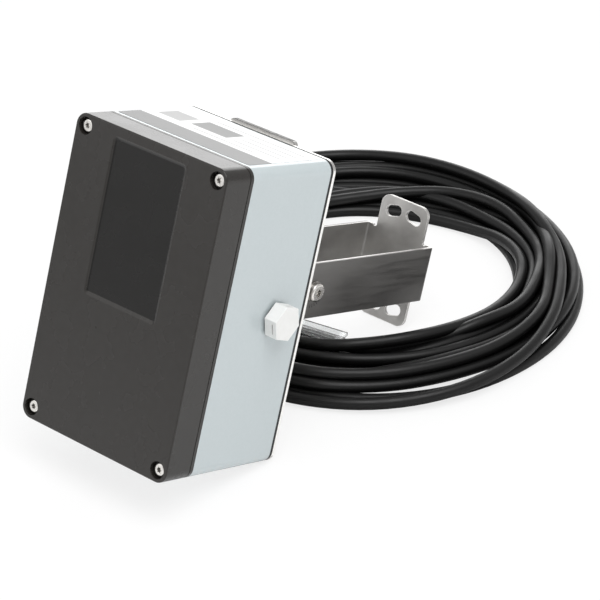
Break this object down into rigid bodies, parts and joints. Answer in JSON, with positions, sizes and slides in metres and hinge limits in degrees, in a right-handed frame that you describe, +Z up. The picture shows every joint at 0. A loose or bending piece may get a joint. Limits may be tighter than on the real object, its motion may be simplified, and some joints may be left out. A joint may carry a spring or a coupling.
{
  "type": "radar sensor",
  "caption": "Box-shaped radar sensor with a black antenna cover, a vent plug, a tilting slotted steel bracket and a coiled connection cable.",
  "frame": {"origin": "on the floor, below the middle of the sensor with its bracket, cable left out", "axes": "+Z up, +Y from the antenna cover towards the bracket, +X to the vent plug's side"},
  "size_m": [0.2986, 0.4281, 0.1998],
  "materials": {
    "cover_plastic": "fine satin grain",
    "housing_paint": "light grey powder coat",
    "stainless": "brushed",
    "fastener_steel": "bright",
    "seal_rubber": "matte",
    "vent_plastic": "satin",
    "membrane": "matte",
    "gland_plastic": "satin",
    "board_laminate": "solder mask",
    "shield_tin": "tin plate",
    "post_brass": "turned",
    "terminal_plastic": "moulded",
    "label_foil": "printed foil",
    "cable_jacket": "matte jacket",
    "core_ends": "tinned ferrules on coloured cores",
    "clear_plastic": "clear extrusion"
  },
  "bodies": {
    "sensor": {"antenna_board": "board_laminate", "antenna_posts": "post_brass", "antenna_screws": "fastener_steel", "back_plate": "stainless", "board_screws": "fastener_steel", "cable_coil": "cable_jacket", "cable_cores": "core_ends", "cable_lead": "cable_jacket", "cable_tail": "cable_jacket", "cover_screws": "fastener_steel", "front_cover": "cover_plastic", "front_seal": "seal_rubber", "gland_body": "gland_plastic", "gland_cap": "gland_plastic", "gland_grommet": "seal_rubber", "gland_locknut": "gland_plastic", "gland_ring": "seal_rubber", "housing": "housing_paint", "main_board": "board_laminate", "marker_sleeve": "clear_plastic", "pivot_nut_left": "fastener_steel", "pivot_nut_right": "fastener_steel", "pivot_screw_left": "fastener_steel", "pivot_screw_right": "fastener_steel", "pivot_washer_left": "fastener_steel", "pivot_washer_right": "fastener_steel", "plate_screws": "fastener_steel", "press_nuts_lower": "fastener_steel", "press_nuts_upper": "fastener_steel", "radar_shield": "shield_tin", "rear_seal": "seal_rubber", "terminal_block": "terminal_plastic", "tilt_yoke": "stainless", "type_label": "label_foil", "vent_body": "vent_plastic", "vent_cap": "vent_plastic", "vent_membrane": "membrane", "vent_seal": "seal_rubber", "yoke_screws_lower": "fastener_steel", "yoke_screws_upper": "fastener_steel"},
    "bracket": {"mounting_bracket": "stainless"}
  },
  "joints": [
    {"name": "bracket_tilt", "type": "hinge", "parent": "sensor", "child": "bracket", "pos_m": [-0.0049, 0.01885, 0.07195], "axis": [1, 0, 0], "range_deg": [0, 90]}
  ]
}
